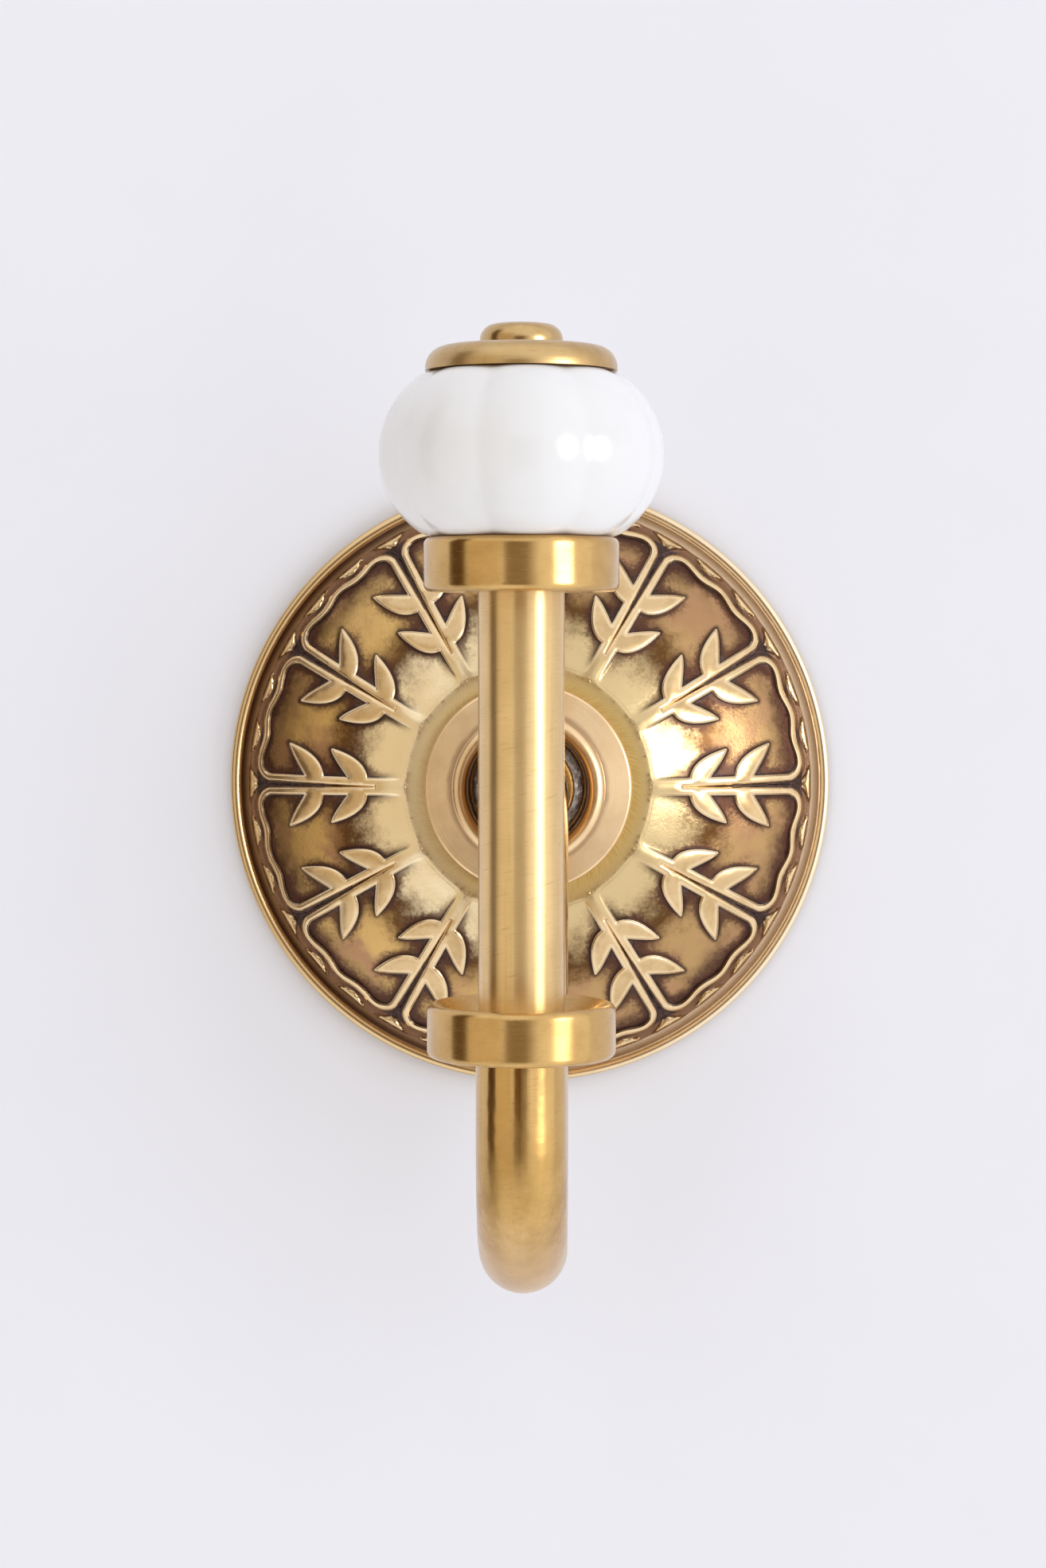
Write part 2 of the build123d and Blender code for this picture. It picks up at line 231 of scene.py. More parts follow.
def panel_outline():
    """Edge of half a sunk panel, from the middle of its foot to the middle of the ridge."""
    inner = leaf_outline(**inner_leaf)
    outer = leaf_outline(**outer_leaf)
    foot = stem_side(panel_foot + foot_corner_reach)
    foot_corner = stem_side(panel_foot)
    foot_angle = math.degrees(math.atan2(foot_corner[1] + foot_corner_reach, panel_foot))
    foot_start = on_plan(panel_foot, foot_angle)
    foot_middle = on_plan(panel_foot, half_pitch)
    corner_start, corner = ridge_corner(stem_side(ridge_radius), 0.0)
    return join([
        straight(foot_middle, foot_start),
        rounded_corner(foot_start, foot_corner, foot),
        straight(foot, inner[0][0]),
        *inner,
        straight(inner[1][-1], outer[0][0]),
        *outer,
        straight(outer[1][-1], corner_start),
        corner,
        wave(0.0, scallop_pitch / 2, half_pitch),
    ])


def groove_outline():
    """Edge of half the groove between twin stems, and on along the ridge's outer edge."""
    mouth, corner = ridge_corner(np.array((ridge_radius, groove_half_width)), ridge_width)
    return join([
        straight(np.array((groove_tip, 0.0)), mouth),
        corner,
        wave(ridge_width, scallop_pitch / 2, half_pitch),
    ])


def lozenge_outline(degrees):
    """Edge of one lozenge of the border, a flat triangle that points inwards."""
    left = on_plan(lozenge_outer, degrees - lozenge_half_angle)
    right = on_plan(lozenge_outer, degrees + lozenge_half_angle)
    tip = on_plan(lozenge_outer - lozenge_depth, degrees)
    return join([straight(left, tip), straight(tip, right), straight(right, left)])


def distance_to(points, outline):
    """Distance from each point to a line of points."""
    start = outline[:-1]
    step = outline[1:] - start
    away = points[:, None, :] - start[None]
    along = np.clip((away * step).sum(2) / (step * step).sum(1), 0, 1)
    return np.sqrt(((away - along[..., None] * step) ** 2).sum(2)).min(1)


def inside(points, ring):
    """Whether each point lies inside a closed ring of points."""
    within = np.zeros(len(points), bool)
    for first, second in zip(ring, np.roll(ring, -1, axis=0)):
        crosses = (first[1] > points[:, 1]) != (second[1] > points[:, 1])
        rise = second[1] - first[1] or tolerance
        run = (points[:, 1] - first[1]) * (second[0] - first[0]) / rise
        within ^= crosses & (points[:, 0] < first[0] + run)
    return within


def smooth_step(low, high, value):
    """0 below low, 1 above high, with a soft rise between them."""
    share = np.clip((value - low) / (high - low), 0, 1)
    return share * share * (3 - 2 * share)


panel_edge = panel_outline()
groove_edge = groove_outline()
lozenge_edges = [lozenge_outline(degrees) for degrees in (0, scallop_pitch)]
sprig_edge = panel_edge[np.hypot(*panel_edge.T) > panel_foot + foot_clearance]
past_middle = half_pitch + 2
far_out = border_radius + 1
panel_ring = np.vstack([panel_edge, on_plan(ridge_radius, past_middle), on_plan(panel_foot, past_middle)])
outside_ring = np.vstack([
    groove_edge,
    on_plan(ridge_radius + ridge_width, past_middle),
    on_plan(far_out, past_middle),
    (far_out, -1.0),
    (groove_tip, -1.0),
])
ground_height = dome(dome_edge_height, seat_height - hub_drop)
raised_height = dome(dome_edge_height + relief_at_rim, seat_height)


def edge_distances(points):
    """Distances to the panel's edge, the groove's edge and the lozenges, positive on the relief."""
    panel = distance_to(points, panel_edge)
    panel[inside(points, panel_ring)] *= -1
    groove = distance_to(points, groove_edge)
    groove[inside(points, outside_ring)] *= -1
    lozenges = []
    for edge in lozenge_edges:
        gap = distance_to(points, edge)
        gap[~inside(points, edge)] *= -1
        lozenges.append(gap)
    return panel, groove, np.max(lozenges, axis=0)


def relief(points):
    """Height of the carved face over points of the plan, how rubbed it is, and its open ground."""
    panel, groove, lozenge = edge_distances(points)
    radius = np.hypot(points[:, 0], points[:, 1])
    ground = ground_height(radius)
    near_hub = 1 - smooth_step(hub_radius, hub_radius + hub_fade, radius)
    ground += (raised_height(radius) - ground) * near_hub
    face = raised_height(np.minimum(radius, border_radius))
    crown = leaf_crown * smooth_step(0.0, leaf_roll, np.minimum(panel, groove))
    top = np.where(radius < dome_edge_radius + relief_reach, face, 0.0) + crown
    climb = smooth_step(hub_radius, hub_radius + stem_climb, radius)
    top += stem_rise * climb * (1 - smooth_step(*stem_settles, radius))
    up_from_panel = smooth_step(-wall_foot, wall_crown, panel)
    height = ground + (top - ground) * up_from_panel
    outside = np.maximum(-groove, 0)
    cone = border_floor + (dome_edge_height - border_floor) * (border_radius - radius) / border_width
    terrace = face - moulding_drop - moulding_slope * outside
    terrace += ripple_height * np.cos(2 * math.pi * (outside - ripple_start) / ripple_pitch)
    groove_bed = terrace - groove_depth + moulding_drop
    low = np.where(radius > dome_edge_radius - moulding_reach, np.maximum(cone, terrace), groove_bed)
    low = np.where(radius > border_radius - edge_band, np.minimum(low, cone + edge_rise), low)
    drop = smooth_step(-wall_crown, groove_foot, -groove)
    height = height + (low - height) * drop
    on_lozenge = smooth_step(-lozenge_foot, lozenge_crown, lozenge)
    height = height + (cone + lozenge_rise - height) * on_lozenge
    height -= hub_round * (1 - smooth_step(hub_radius, hub_radius + hub_round_width, radius))
    height = np.where(radius <= hub_radius + tolerance, seat_height - hub_round, height)
    height = np.where(radius >= border_radius - tolerance, border_floor, height)
    rubbed = np.maximum(up_from_panel * (1 - drop), on_lozenge)
    from_edge = np.where(groove > 0, np.minimum(panel, groove), border_openness)
    open_ground = np.where(panel < 0, distance_to(points, sprig_edge), from_edge)
    return height, rubbed, open_ground


def folded(points):
    """The same places in the half sector that repeats round the plate."""
    radius = np.hypot(points[:, 0], points[:, 1])
    angle = np.abs(np.arctan2(points[:, 1], points[:, 0]))
    pitch = math.radians(half_pitch)
    angle = np.where(angle > pitch, 2 * pitch - angle, angle)
    return np.stack([radius * np.cos(angle), radius * np.sin(angle)], axis=1)


def shelter(points):
    """Share of raised work around each point, which keeps the polishing cloth off it and where painted
    shade beside the relief is laid.
    """
    raised = np.zeros(len(points))
    for reach in shelter_reaches:
        for ray in range(shelter_rays):
            around = folded(points + on_plan(reach, 360 * ray / shelter_rays))
            beyond_foot = np.hypot(around[:, 0], around[:, 1]) > panel_foot
            raised += beyond_foot & ~inside(around, panel_ring)
    return raised / (len(shelter_reaches) * shelter_rays)


def offset_points(outline, level):
    """Points at one distance from a line, fanned out round its sharp corners."""
    step = np.diff(outline, axis=0)
    step /= np.linalg.norm(step, axis=1)[:, None]
    normals = np.stack([-step[:, 1], step[:, 0]], axis=1)
    points = []
    for place, before, after in zip(outline[1:-1], normals[:-1], normals[1:]):
        turn = math.acos(max(-1, min(1, before @ after)))
        fan = max(1, round(turn / math.radians(fan_degrees)))
        for share in np.linspace(0, 1, fan + 1)[:-1] if fan > 1 else (0.5,):
            normal = before * (1 - share) + after * share
            points.append(place + level * normal / np.linalg.norm(normal))
    return np.array(points)


class Scatter:
    """Points of the plan that keep their distance from each other."""

    cell = 0.5

    def __init__(self):
        self.points = []
        self.cells = {}

    def add(self, points, gap):
        for x, y in points:
            column, row = int(x / self.cell), int(y / self.cell)
            near = [
                point
                for i in (-1, 0, 1)
                for j in (-1, 0, 1)
                for point in self.cells.get((column + i, row + j), ())
            ]
            if all((x - px) ** 2 + (y - py) ** 2 > gap * gap for px, py in near):
                self.cells.setdefault((column, row), []).append((x, y))
                self.points.append((x, y))


def within_half_sector(points, margin):
    """The points that lie in the half sector between a stem and the middle of a panel."""
    radius = np.hypot(points[:, 0], points[:, 1])
    angle = np.arctan2(points[:, 1], points[:, 0])
    side = radius * np.minimum(angle, math.radians(half_pitch) - angle)
    return points[(side > margin) & (radius > hub_radius + margin) & (radius < border_radius - margin)]


def half_sector():
    """Flat mesh of half a sprig's sector: points in the plan and triangles between them."""
    arc_steps = ring_segments // (2 * sprigs)
    ray_steps = round((border_radius - hub_radius) / ray_spacing)
    reaches = np.linspace(hub_radius, border_radius, ray_steps + 1)
    angles = np.linspace(0, half_pitch, arc_steps + 1)
    border = [on_plan(reach, 0) for reach in reaches]
    border += [on_plan(border_radius, angle) for angle in angles[1:]]
    border += [on_plan(reach, half_pitch) for reach in reaches[-2::-1]]
    border += [on_plan(hub_radius, angle) for angle in angles[-2:0:-1]]
    scatter = Scatter()
    scatter.add(border, 0.0)
    contours = [(panel_edge, panel_levels), (groove_edge, groove_levels)]
    contours += [(edge, lozenge_levels) for edge in lozenge_edges]
    for outline, levels in contours:
        for level in levels:
            points = within_half_sector(offset_points(outline, level), contour_margin)
            points = points[distance_to(points, outline) > abs(level) - contour_slack]
            scatter.add(points, contour_gap)
    rows = round((border_radius - hub_radius) / fill_spacing)
    fill = []
    for row in range(1, rows):
        reach = hub_radius + row * fill_spacing
        count = round(math.radians(half_pitch) * reach / fill_spacing)
        stagger = 0.75 if row % 2 else 0.25
        for column in range(count):
            fill.append(on_plan(reach, half_pitch * (column + stagger) / count))
    scatter.add(within_half_sector(np.array(fill), fill_margin), fill_gap)
    loop = list(range(len(border)))
    corners = [Vector(point) for point in scatter.points]
    points, _, triangles, *_ = delaunay_2d_cdt(corners, [], [loop], 1, weld_distance)
    return np.array([tuple(point) for point in points]), triangles


def rosette_sections():
    """(radius, height) places round the plain parts, from the border over the rim to the hub."""
    sections = []
    for step in range(1, cove_steps + 1):
        share = step / cove_steps
        sag = cove_sag * math.sin(math.pi * share)
        level = border_floor + (cove_floor - border_floor) * share - sag
        sections.append((border_radius + (cove_width + cove_overlap) * share, level))
    bead_middle = rosette_radius - bead_radius
    for degrees in range(bead_wrap, -1, -bead_step):
        reach = bead_middle + bead_radius * math.cos(math.radians(degrees))
        sections.append((reach, side_height + bead_radius * math.sin(math.radians(degrees))))
    sections += [(rosette_radius, rim_chamfer), (rosette_radius - rim_chamfer, 0.0)]
    back_flat = seat_height - hub_wall
    reaches = np.linspace(back_rim, back_middle, back_rows)
    reaches = [float(reach) for reach in reaches if ground_height(reach, plate_wall) > 0]
    sections.append((reaches[0] + back_lip, 0.0))
    sections += [(reach, min(float(ground_height(reach, plate_wall)), back_flat)) for reach in reaches]
    return sections + [
        (bore_radius, back_flat),
        (bore_radius, seat_height - bore_chamfer),
        (bore_radius + bore_chamfer, seat_height),
        (hub_radius - hub_round_width, seat_height),
        (hub_radius - hub_round_width / 2, seat_height - hub_round / 4),
    ]


def bridge(shape, lower, upper):
    """Band of faces between two closed rings of corners."""
    for corners in zip(lower, lower[1:] + lower[:1], upper[1:] + upper[:1], upper):
        shape.faces.new(corners)


def turns_round(count):
    """Angles of equal steps round a ring."""
    return [2 * math.pi * step / count for step in range(count)]


def off_wall(radius, turn, height):
    """Place in metres round the rosette's axis, at a height from the wall."""
    return (radius * math.cos(turn) * mm, -height * mm, radius * math.sin(turn) * mm)


def as_mesh(shape, name):
    """Closes a shape and gives it as a named mesh."""
    mesh = bpy.data.meshes.new(name)
    shape.to_mesh(mesh)
    shape.free()
    return mesh


def rosette_mesh():
    """The whole plate as one closed mesh, with how rubbed, open and sheltered each point is."""
    plan, triangles = half_sector()
    heights, rubbed, open_ground = relief(plan)
    sheltered = shelter(plan)
    reach = np.hypot(plan[:, 0], plan[:, 1])
    angle = np.arctan2(plan[:, 1], plan[:, 0])
    shape = bmesh.new()
    rubbed_layer = shape.verts.layers.float.new("rubbed")
    open_layer = shape.verts.layers.float.new("open_ground")
    shelter_layer = shape.verts.layers.float.new("sheltered")

    def place(radius, turn, height, rub, gap, cover):
        corner = shape.verts.new(off_wall(radius, turn, height))
        corner[rubbed_layer] = rub
        corner[open_layer] = gap
        corner[shelter_layer] = cover
        return corner

    def uneven(radius, turn):
        from_hub = min(1, max(0, (radius - hub_radius) / hub_calm))
        from_border = min(1, max(0, (border_radius - radius) / border_calm))
        spot = Vector((radius * math.cos(turn), radius * math.sin(turn), unevenness_slice))
        return casting_unevenness * from_hub * from_border * noise.noise(spot / unevenness_pitch)

    for sprig in range(sprigs):
        for side in (1, -1):
            turns = math.radians(2 * half_pitch * sprig) + side * angle
            levels = [height + uneven(*spot) for height, *spot in zip(heights, reach, turns)]
            corners = [place(*row) for row in zip(reach, turns, levels, rubbed, open_ground, sheltered)]
            for triangle in triangles:
                ordered = triangle if side > 0 else triangle[::-1]
                shape.faces.new([corners[index] for index in ordered])
    sections = [(border_radius, border_floor), *rosette_sections(), (hub_radius, seat_height - hub_round)]
    turns = turns_round(ring_segments)
    rings = []
    for radius, height in sections:
        on_rim = radius > border_radius + plain_margin
        rubbing = 1.0 if on_rim or radius < hub_radius + plain_margin else 0.0
        rings.append([place(radius, turn, height, rubbing, border_openness, 0.0) for turn in turns])
    for lower, upper in zip(rings, rings[1:]):
        bridge(shape, lower, upper)
    bmesh.ops.remove_doubles(shape, verts=shape.verts, dist=tolerance)
    bmesh.ops.recalc_face_normals(shape, faces=shape.faces)
    return as_mesh(shape, "rosette_casting")


def show(name, mesh, crease_degrees):
    """Object with a smooth surface that stays sharp at edges over the crease angle."""
    mesh.polygons.foreach_set("use_smooth", [True] * len(mesh.polygons))
    mesh.set_sharp_from_angle(angle=math.radians(crease_degrees))
    piece = bpy.data.objects.new(name, mesh)
    bpy.context.scene.collection.objects.link(piece)
    return piece


class Signal:
    """One output of a finish's nodes. Arithmetic on it adds Math nodes."""

    def __init__(self, finish, socket):
        self.finish = finish
        self.socket = socket

    def math(self, operation, first, second):
        return self.finish.node("ShaderNodeMath", {"operation": operation}, {0: first, 1: second})

    def other(self, output):
        """Another output of the same node."""
        return Signal(self.finish, self.socket.node.outputs[output])

    def __add__(self, value):
        return self.math("ADD", self, value)

    def __radd__(self, value):
        return self.math("ADD", value, self)

    def __sub__(self, value):
        return self.math("SUBTRACT", self, value)

    def __rsub__(self, value):
        return self.math("SUBTRACT", value, self)

    def __mul__(self, value):
        return self.math("MULTIPLY", self, value)

    def __truediv__(self, value):
        return self.math("DIVIDE", self, value)

    def __pow__(self, value):
        return self.math("POWER", self, value)


class Finish:
    """Nodes of one material or of the sky."""

    def __init__(self, owner):
        owner.use_nodes = True
        self.tree = owner.node_tree
        self.tree.nodes.clear()

    def node(self, kind, settings=None, sockets=None, output=0):
        """Adds a node, sets its settings first and then its sockets' values or links."""
        made = self.tree.nodes.new(kind)
        for key, value in (settings or {}).items():
            setattr(made, key, value)
        for key, value in (sockets or {}).items():
            socket = made.inputs[key]
            if isinstance(value, Signal):
                self.tree.links.new(value.socket, socket)
            elif socket.type == "RGBA":
                socket.default_value = (*value, 1.0)
            else:
                socket.default_value = value
        return Signal(self, made.outputs[output]) if made.outputs else None

    def place(self):
        """Place on the object, as x, y and z in millimetres."""
        spot = self.node("ShaderNodeTexCoord", output="Object")
        x = self.node("ShaderNodeSeparateXYZ", sockets={0: spot})
        return x / mm, x.other("Y") / mm, x.other("Z") / mm

    def vector(self, x, y, z):
        """Three lengths as one place."""
        return self.node("ShaderNodeCombineXYZ", sockets={0: x, 1: y, 2: z})

    def turn(self, across, along):
        """Angle in radians of the direction that two lengths give."""
        return self.node("ShaderNodeMath", {"operation": "ARCTAN2"}, {0: across, 1: along})

    def speckle(self, vector, scale, detail, rough):
        """Cloudy noise from 0 to 1, with a number of waves to each unit of the vector."""
        sockets = {"Vector": vector, "Scale": scale, "Detail": detail, "Roughness": rough}
        return self.node("ShaderNodeTexNoise", sockets=sockets)

    def rise(self, value, low, high):
        """Soft step from 0 at low to 1 at high."""
        sockets = {"Value": value, "From Min": low, "From Max": high}
        return self.node("ShaderNodeMapRange", {"interpolation_type": "SMOOTHSTEP"}, sockets)

    def blend(self, share, first, second):
        """Colour between two colours."""
        sockets = {0: share, 6: first, 7: second}
        return self.node("ShaderNodeMix", {"data_type": "RGBA"}, sockets, output=2)

    def bump(self, height, depth):
        """Normal of a surface whose height goes from 0 to 1 over a depth in millimetres."""
        sockets = {"Height": height, "Distance": depth * mm, "Strength": 1.0}
        return self.node("ShaderNodeBump", sockets=sockets)

    def surface(self, **sockets):
        """Closes the finish with its main shader."""
        named = {}
        for key, value in sockets.items():
            named[key.replace("_", " ").title().replace("Ior", "IOR")] = value
        shader = self.node("ShaderNodeBsdfPrincipled", sockets=named)
        self.node("ShaderNodeOutputMaterial", sockets={"Surface": shader})


def antique_brass():
    """Cast brass, dark in the hollows with patina and painted shade, rubbed to pale satin on the relief,
    with painted reflection and side shading over the ground.
    """
    rubbed_and_lit_edge = (0.82, 0.62, 0.37)
    rubbed_brass = (0.66, 0.46, 0.235)
    rubbed_shade = (0.48, 0.31, 0.13)
    cream_ground = (0.90, 0.73, 0.46)
    shaded_tan_ground = (0.64, 0.47, 0.235)
    golden_ground = (0.64, 0.40, 0.14)
    shaded_brown_ground = (0.47, 0.285, 0.115)
    rosy_ground = (0.43, 0.235, 0.11)
    dark_band_ground = (0.10, 0.037, 0.005)
    brown_patina_and_shade = (0.080, 0.029, 0.017)
    black_patina_and_shade = (0.026, 0.010, 0.007)
    grey_bloom = (0.165, 0.118, 0.108)
    border_brown = (0.27, 0.135, 0.065)
    cove_tan = (0.44, 0.25, 0.11)
    cove_shadow_brown = (0.27, 0.125, 0.05)
    cove_lit_cream = (0.92, 0.77, 0.58)
    bead_gold = (0.72, 0.51, 0.26)
    bead_lit_cream = (0.90, 0.73, 0.50)
    hub_olive = (0.53, 0.365, 0.105)
    hub_cream = (0.70, 0.52, 0.215)
    hub_pale = (0.78, 0.63, 0.38)
    cast_gold = (0.46, 0.31, 0.14)
    cast_brown = (0.24, 0.14, 0.065)
    hub_edge = (hub_radius - 1.6, hub_radius + 0.6)
    film_edge = (15.5, 21.0)
    worn_and_lit_edge_from = (15.8, 18.0)
    crease_from = (16.0, 19.0)
    stem_foot = (16.5, 20.0)
    cream_edge = (18.0, 23.4)
    dark_band_edge = (22.6, 27.0)
    ridge_film = (29.8, 33.2)
    border_edge = (dome_edge_radius - 0.1, dome_edge_radius + 0.3)
    cove_edge = (border_radius, border_radius + 0.2)
    cove_shade = (border_radius + 0.3, border_radius + 1.0)
    bead_foot = rosette_radius - 2 * bead_radius
    bead_edge = (bead_foot + 0.02, bead_foot + 0.2)
    side_shading_span = (-17.0, 3.0)
    cove_lit_side_span = (-34.0, 26.0)
    bead_lit_side_span = (-10.0, 34.0)
    casting_grain_depth = 0.035
    material = bpy.data.materials.new("antique_brass_casting")
    finish = Finish(material)
    x, y, z = finish.place()
    radius = (x * x + z * z) ** 0.5
    spot = finish.vector(x, y, z)
    rubbed = finish.node("ShaderNodeAttribute", {"attribute_name": "rubbed"}, output="Fac")
    gap = finish.node("ShaderNodeAttribute", {"attribute_name": "open_ground"}, output="Fac")
    cover = finish.node("ShaderNodeAttribute", {"attribute_name": "sheltered"}, output="Fac")
    cloud = finish.speckle(spot, 0.30, 4.0, 0.65)
    tint = finish.speckle(spot, 0.16, 3.0, 0.6)
    grain = finish.speckle(spot, 2.4, 3.0, 0.7)
    dust = finish.speckle(spot, 5.5, 2.0, 0.7)
    ragged = (cloud - 0.5) * 6.0 + (grain - 0.5) * 1.5
    # Bands by radius, cream near the hub, dark brown in the middle and gold further out: partly patina,
    # partly painted reflection of the panels' curved ground.
    past_cream = finish.rise(radius + ragged, *cream_edge)
    past_dark_band = finish.rise(radius + ragged, *dark_band_edge)
    # Painted shade by side: the ground is painted browner on the right of the plate, where the window's
    # reflection falls, and lighter on the left.
    painted_side_shading = finish.rise(x + (cloud - 0.5) * 10, *side_shading_span)
    outer_ground = finish.blend(painted_side_shading, golden_ground, shaded_brown_ground)
    outer_ground = finish.blend(finish.rise(tint, 0.45, 0.65), outer_ground, rosy_ground)
    ground = finish.blend(past_dark_band, dark_band_ground, outer_ground)
    inner_ground = finish.blend(painted_side_shading, cream_ground, shaded_tan_ground)
    ground = finish.blend(past_cream, inner_ground, ground)
    outward = finish.rise(radius, *film_edge)
    patchy = (grain - 0.5) * 0.3 + (cloud - 0.5) * 0.35
    # Brown film beside the relief, where the cloth can't reach: patina, partly painted shade.
    patina_and_shade_film = finish.rise(cover + patchy, 0.05, 0.34) * outward
    ground = finish.blend(patina_and_shade_film * 0.92, ground, brown_patina_and_shade)
    by_ridge = finish.rise(radius + ragged * 0.5, *ridge_film) * finish.rise(tint, 0.66, 0.46)
    ground = finish.blend(by_ridge * 0.92, ground, brown_patina_and_shade)
    bloom = finish.rise(cover + (dust - 0.5) * 0.9, 0.5, 0.66) * finish.rise(dust, 0.42, 0.6)
    ground = finish.blend(bloom * outward * 0.7, ground, grey_bloom)
    # Near-black line at the foot of the relief: patina and painted contact shade.
    crease = 1 - finish.rise(gap + (cloud - 0.5) * 1.2 + (grain - 0.5) * 0.3, 0.1, 0.7)
    ground = finish.blend(crease * finish.rise(radius, *crease_from) * 0.85, ground, black_patina_and_shade)
    on_border = finish.rise(radius, *border_edge)
    ground = finish.blend(on_border * (0.6 + grain * 0.4), ground, border_brown)
    top = finish.blend(finish.rise(cloud, 0.4, 0.7) * 0.7, rubbed_brass, rubbed_shade)
    # Pale rims on the relief: partly wear, partly painted highlight.
    worn_and_lit_edge = 1 - finish.rise(gap + (cloud - 0.5) * 0.6, 0.05, 0.55)
    worn_and_lit_edge = worn_and_lit_edge * finish.rise(radius, *worn_and_lit_edge_from)
    top = finish.blend(worn_and_lit_edge, top, rubbed_and_lit_edge)
    top = finish.blend(1 - finish.rise(radius, *stem_foot), top, inner_ground)
    bare = finish.rise(rubbed + (grain - 0.5) * 0.2, 0.15, 0.55)
    colour = finish.blend(bare, ground, top)
    in_cove = finish.rise(radius, *cove_edge)
    # Cove: painted dark next to the bead as a painted shadow at its foot, and painted pale cream on the
    # right side as a painted highlight.
    cove = finish.blend(finish.rise(radius + (cloud - 0.5) * 0.8, *cove_shade), cove_tan, cove_shadow_brown)
    cove = finish.blend(finish.rise(x + (cloud - 0.5) * 20, *cove_lit_side_span), cove, cove_lit_cream)
    colour = finish.blend(in_cove, colour, cove)
    on_bead = finish.rise(radius, *bead_edge)
    # Bead: painted pale cream on the right side, a painted highlight.
    bead = finish.blend(finish.rise(x + (cloud - 0.5) * 20, *bead_lit_side_span), bead_gold, bead_lit_cream)
    colour = finish.blend(on_bead, colour, bead)
    angle = finish.turn(z, x)
    strokes = finish.speckle(finish.vector(angle * 130 + radius * 5, radius * 0.5, 0.0), 1.0, 2.0, 0.6)
    hub = 1 - finish.rise(radius + (strokes - 0.5) * 2.4, *hub_edge)
    brushed = finish.blend(finish.rise(strokes, 0.3, 0.7), hub_olive, hub_cream)
    # Painted side shading: the hub is painted paler on its left side.
    brushed = finish.blend((1 - painted_side_shading) * 0.6, brushed, hub_pale)
    colour = finish.blend(hub * 0.9, colour, brushed)
    facing = finish.node("ShaderNodeNewGeometry", output="Normal")
    facing = finish.node("ShaderNodeSeparateXYZ", sockets={0: facing}, output="Y")
    behind = finish.rise(facing, 0.1, 0.4)
    cast = finish.blend(finish.rise(cloud * 0.6 + grain * 0.4, 0.35, 0.65), cast_gold, cast_brown)
    colour = finish.blend(behind, colour, cast)
    dull = (1 - bare) * (1 - hub) * patina_and_shade_film
    filmed = (1 - bare) * past_cream
    dusty = dull * bloom
    rough_ground = (1 - bare) * (grain * 0.6 + dust * patina_and_shade_film * 0.8)
    finish.surface(
        base_color=colour,
        metallic=1 - filmed * 0.1 - dusty * 0.5 - hub * 0.12 - in_cove * (1 - on_bead) * 0.5,
        roughness=0.25 + filmed * 0.04 + dull * 0.08 + dusty * 0.3 + hub * 0.35 + (grain - 0.5) * 0.08,
        normal=finish.bump(rough_ground + grain * 0.1 + strokes * hub * 0.7, casting_grain_depth),
        coat_weight=0.12,
        coat_roughness=0.14,
    )
    return material


rosette = show("rosette_casting", rosette_mesh(), crease_degrees=55)
rosette.data.materials.append(antique_brass())
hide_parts("rosette")
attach(rosette, "root")

# Arm socket: a cup turned from brass bar, with a flange, a round lip and a threaded tail that
# goes through the rosette. Its face is rosy satin; its hollow and the groove beside its lip are painted
# brown as shade.


def socket_brass():
    """Rosy satin brass with faint lathe rings, with painted shade beside the lip and in the hollow."""
    rosy_brass = (0.86, 0.62, 0.35)
    rosy_shade = (0.70, 0.47, 0.25)
    hollow_shade_brown = (0.34, 0.20, 0.11)
    hollow_edge = (8.0, 8.5)
    lip_foot = (9.1, 9.5)
    lip_shade_end = (9.5, 10.2)
    ring_depth = 0.006
    material = bpy.data.materials.new("socket_brass")
    finish = Finish(material)
    x, y, z = finish.place()
    radius = (x * x + z * z) ** 0.5
    angle = finish.turn(z, x)
    rings = finish.speckle(finish.vector(radius * 5, y * 5, angle * 0.8), 1.0, 2.0, 0.6)
    cloud = finish.speckle(finish.vector(x, y, z), 0.3, 4.0, 0.6)
    tone = finish.blend(finish.rise(cloud, 0.35, 0.75) * 0.6, rosy_brass, rosy_shade)
    # Painted shade in the groove beside the lip.
    lip_groove_shade = finish.rise(radius, *lip_foot)
    lip_groove_shade = lip_groove_shade * (1 - finish.rise(radius + (cloud - 0.5), *lip_shade_end))
    tone = finish.blend(lip_groove_shade * 0.7, tone, hollow_shade_brown)
    # Painted shade in the hollow.
    hollow = 1 - finish.rise(radius + (cloud - 0.5) * 0.6, *hollow_edge)
    tone = finish.blend(hollow * 0.9, tone, hollow_shade_brown)
    finish.surface(
        base_color=tone,
        metallic=1.0,
        roughness=0.3 + (rings - 0.5) * 0.1 + (cloud - 0.5) * 0.1,
        normal=finish.bump(rings, ring_depth),
        coat_weight=0.4,
        coat_roughness=0.15,
    )
    return material


def dress(node, material):
    """Gives a piece of the frame its own finish."""
    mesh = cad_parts[node].data
    mesh.materials.clear()
    mesh.materials.append(material)


dress("arm_socket", socket_brass())

# Backing washer and retaining nut: plain machined brass behind the rosette. They clamp the
# socket's tail to the plate and are hidden once the hook is on the wall.
tube_low, tube_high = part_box("post_tube")
post_reach = -(tube_low.y + tube_high.y) / 2 / mm
plain_gold = (0.62, 0.44, 0.19)
plain_shade = (0.42, 0.27, 0.10)


